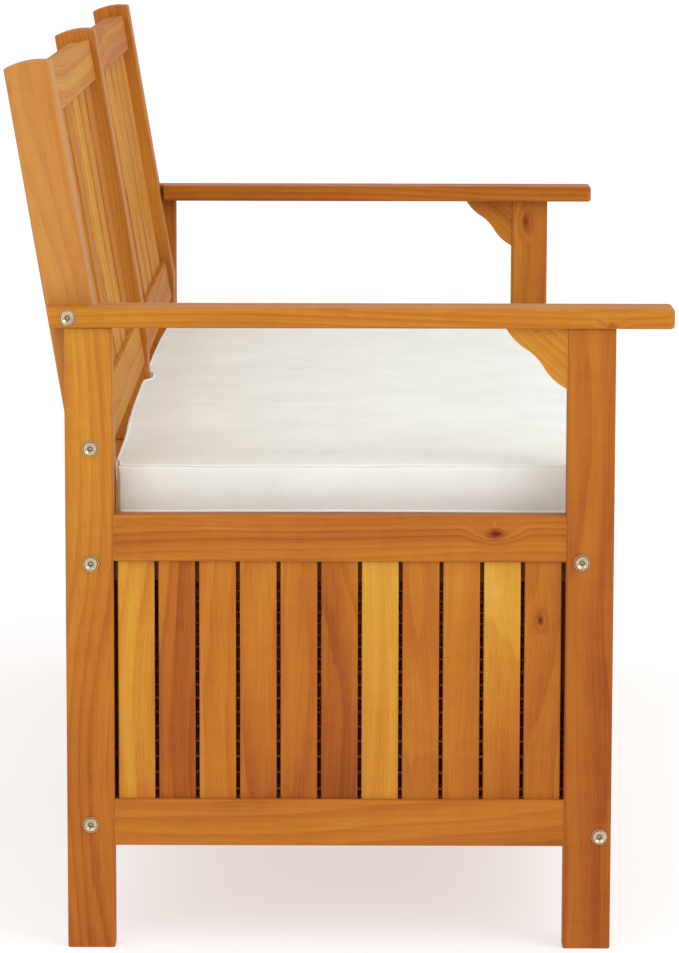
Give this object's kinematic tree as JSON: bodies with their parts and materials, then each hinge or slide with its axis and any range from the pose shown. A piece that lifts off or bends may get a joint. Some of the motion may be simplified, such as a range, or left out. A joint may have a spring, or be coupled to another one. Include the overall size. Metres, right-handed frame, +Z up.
{
  "type": "garden storage bench",
  "caption": "Slatted wooden storage bench with armrests, a leaning slatted back, a hinged seat lid and a loose seat cushion.",
  "frame": {"origin": "under the middle of the bench, on the ground, at the middle of its width and depth", "axes": "+X along the bench, -Y to the front, +Z up"},
  "size_m": [1.4856, 0.625, 0.8389],
  "materials": {
    "acacia_wood": "oiled satin",
    "beech_dowel": "raw",
    "zinc_plated_steel": "yellow zinc plated steel",
    "hinge_steel": "zinc plated",
    "cushion_fabric": "woven cream polyester"
  },
  "bodies": {
    "frame": {"armrest_bracket_left": "acacia_wood", "armrest_bracket_right": "acacia_wood", "armrest_left": "acacia_wood", "armrest_right": "acacia_wood", "back_lower_rail_left": "acacia_wood", "back_lower_rail_right": "acacia_wood", "back_post_left": "acacia_wood", "back_post_middle": "acacia_wood", "back_post_right": "acacia_wood", "back_slats_left": "acacia_wood", "back_slats_right": "acacia_wood", "back_top_rail_left": "acacia_wood", "back_top_rail_right": "acacia_wood", "barrel_nuts": "zinc_plated_steel", "end_bottom_rail_left": "acacia_wood", "end_bottom_rail_right": "acacia_wood", "end_slats_left": "acacia_wood", "end_slats_right": "acacia_wood", "end_top_rail_left": "acacia_wood", "end_top_rail_right": "acacia_wood", "floor_bearer_front": "acacia_wood", "floor_bearer_rear": "acacia_wood", "floor_slats": "acacia_wood", "frame_bolts": "zinc_plated_steel", "front_bottom_rail": "acacia_wood", "front_slats": "acacia_wood", "front_stile": "acacia_wood", "front_top_rail": "acacia_wood", "hinge_leaves_fixed": "hinge_steel", "hinge_pins": "hinge_steel", "hinge_screws_fixed": "hinge_steel", "leg_front_left": "acacia_wood", "leg_front_right": "acacia_wood", "leg_rear_left": "acacia_wood", "leg_rear_right": "acacia_wood", "rear_bottom_rail": "acacia_wood", "rear_seat_slat": "acacia_wood", "rear_slats": "acacia_wood", "rear_stile": "acacia_wood", "rear_top_rail": "acacia_wood", "seat_bearer_left": "acacia_wood", "seat_bearer_middle": "acacia_wood", "seat_bearer_right": "acacia_wood", "seat_end_strips": "acacia_wood", "seat_screws": "hinge_steel", "wood_dowels": "beech_dowel"},
    "lid": {"lid_battens": "acacia_wood", "lid_screws": "hinge_steel", "lid_slat_1": "acacia_wood", "lid_slat_2": "acacia_wood", "lid_slat_3": "acacia_wood", "lid_slat_4": "acacia_wood", "lid_slat_5": "acacia_wood", "lid_slat_6": "acacia_wood", "hinge_leaves_moving": "hinge_steel", "hinge_screws_moving": "hinge_steel"},
    "cushion": {"cushion": "cushion_fabric"}
  },
  "joints": [
    {"name": "lid_hinge", "type": "hinge", "parent": "frame", "child": "lid", "pos_m": [0, 0.1475, 0.406], "axis": [-1, 0, 0], "range_deg": [0, 94]},
    {"name": "cushion_tilt", "type": "hinge", "parent": "frame", "child": "cushion", "pos_m": [0, 0.1875, 0.4452], "axis": [-1, 0, 0], "range_deg": [0, 94]}
  ],
  "couplings": [
    {"joint": "cushion_tilt", "follows": "lid_hinge", "ratio": 1}
  ]
}
